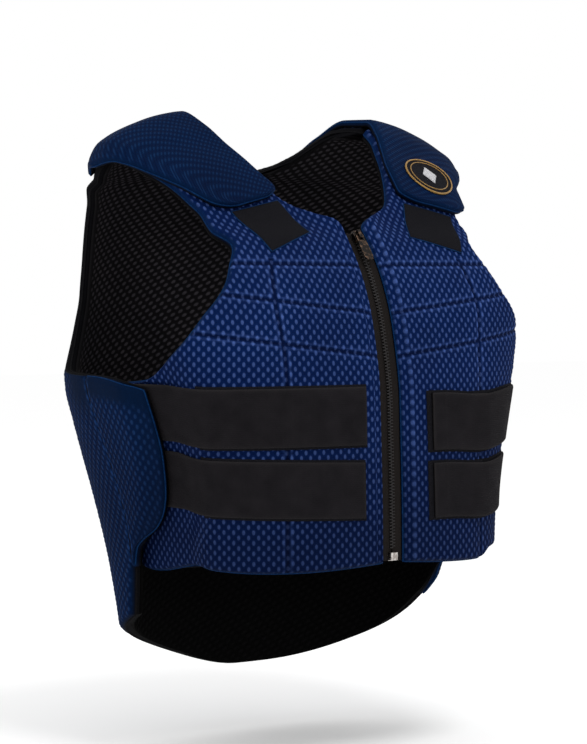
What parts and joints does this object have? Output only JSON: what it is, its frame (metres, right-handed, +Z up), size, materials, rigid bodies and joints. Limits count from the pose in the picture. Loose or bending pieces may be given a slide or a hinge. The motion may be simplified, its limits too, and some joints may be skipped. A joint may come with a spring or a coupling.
{
  "type": "riding body protector",
  "caption": "Sleeveless padded riding vest in blue spacer mesh, black mesh inside, front zip, waist straps, grip-tape shoulders and a drop tail, held up in its worn form.",
  "frame": {"origin": "midway between the undersides of the two shoulders, where the vest rests on its wearer or a stand", "axes": "+Z up, -Y out of the front with the zip, +X to the wearer's left"},
  "size_m": [0.4102, 0.2893, 0.503],
  "materials": {
    "mesh_blue": "padded spacer mesh with raised nubs, royal blue",
    "mesh_black": "black spacer mesh lining",
    "flap_blue": "finer, flatter blue mesh over thin foam",
    "loop_black": "short brushed loop tape, charcoal",
    "elastic_black": "ribbed woven elastic, charcoal black",
    "zip_tape": "woven black tape",
    "zip_teeth": "moulded black plastic teeth",
    "dark_metal": "black lacquered metal",
    "bright_metal": "bright tin plated box",
    "badge_cloth": "black woven patch with a stitched gold rim"
  },
  "bodies": {
    "vest": {"back_panel": "mesh_blue", "back_lining": "mesh_black", "front_panel_right": "mesh_blue", "front_lining_right": "mesh_black", "shoulder_flap_right": "flap_blue", "chest_patch_right": "loop_black", "waist_patch_upper_right": "loop_black", "waist_strap_upper_right": "elastic_black", "waist_patch_lower_right": "loop_black", "waist_strap_lower_right": "elastic_black", "zip_tape_right": "zip_tape", "front_panel_left": "mesh_blue", "front_lining_left": "mesh_black", "shoulder_flap_left": "flap_blue", "chest_patch_left": "loop_black", "waist_patch_upper_left": "loop_black", "waist_strap_upper_left": "elastic_black", "waist_patch_lower_left": "loop_black", "waist_strap_lower_left": "elastic_black", "zip_tape_left": "zip_tape", "zip_teeth": "zip_teeth", "zip_stop": "bright_metal", "zip_slider": "dark_metal", "slider_bridge": "dark_metal", "shoulder_badge": "badge_cloth"},
    "pull": {"zip_pull": "dark_metal"}
  },
  "joints": [
    {"name": "pull_hinge", "type": "hinge", "parent": "vest", "child": "pull", "pos_m": [0, -0.12394, -0.08797], "axis": [-1, 0, 0], "range_deg": [0, 160]}
  ]
}
